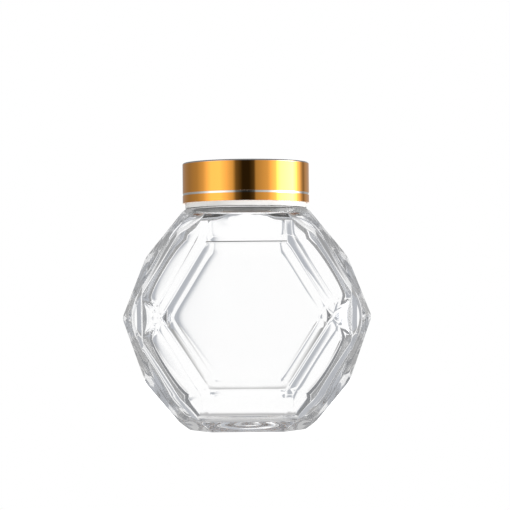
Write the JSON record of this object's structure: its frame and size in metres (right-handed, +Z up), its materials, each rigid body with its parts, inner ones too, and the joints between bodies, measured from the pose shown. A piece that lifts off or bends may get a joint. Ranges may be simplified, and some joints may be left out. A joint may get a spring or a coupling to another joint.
{
  "type": "empty hexagonal glass honey jar with a screw lid",
  "caption": "Clear glass honey jar cut in flat facets round a large hexagonal window, closed by a round gold screw lid, standing on a flat base.",
  "frame": {"origin": "centre of the flat base, on the surface the jar stands on", "axes": "+Z up through the lid, -Y towards the front hexagonal window, X across the widest corners"},
  "size_m": [0.1076, 0.069, 0.1157],
  "materials": {
    "clear_glass": "clear polished glass with softly rounded facet edges",
    "gold_metal": "mirror-bright gold anodised sheet with one silver line cut round it",
    "pale_plastic": "smooth moulded off-white"
  },
  "bodies": {
    "root": {"glass_jar": "clear_glass", "lid_shell": "gold_metal", "lid_liner": "pale_plastic"}
  },
  "joints": []
}
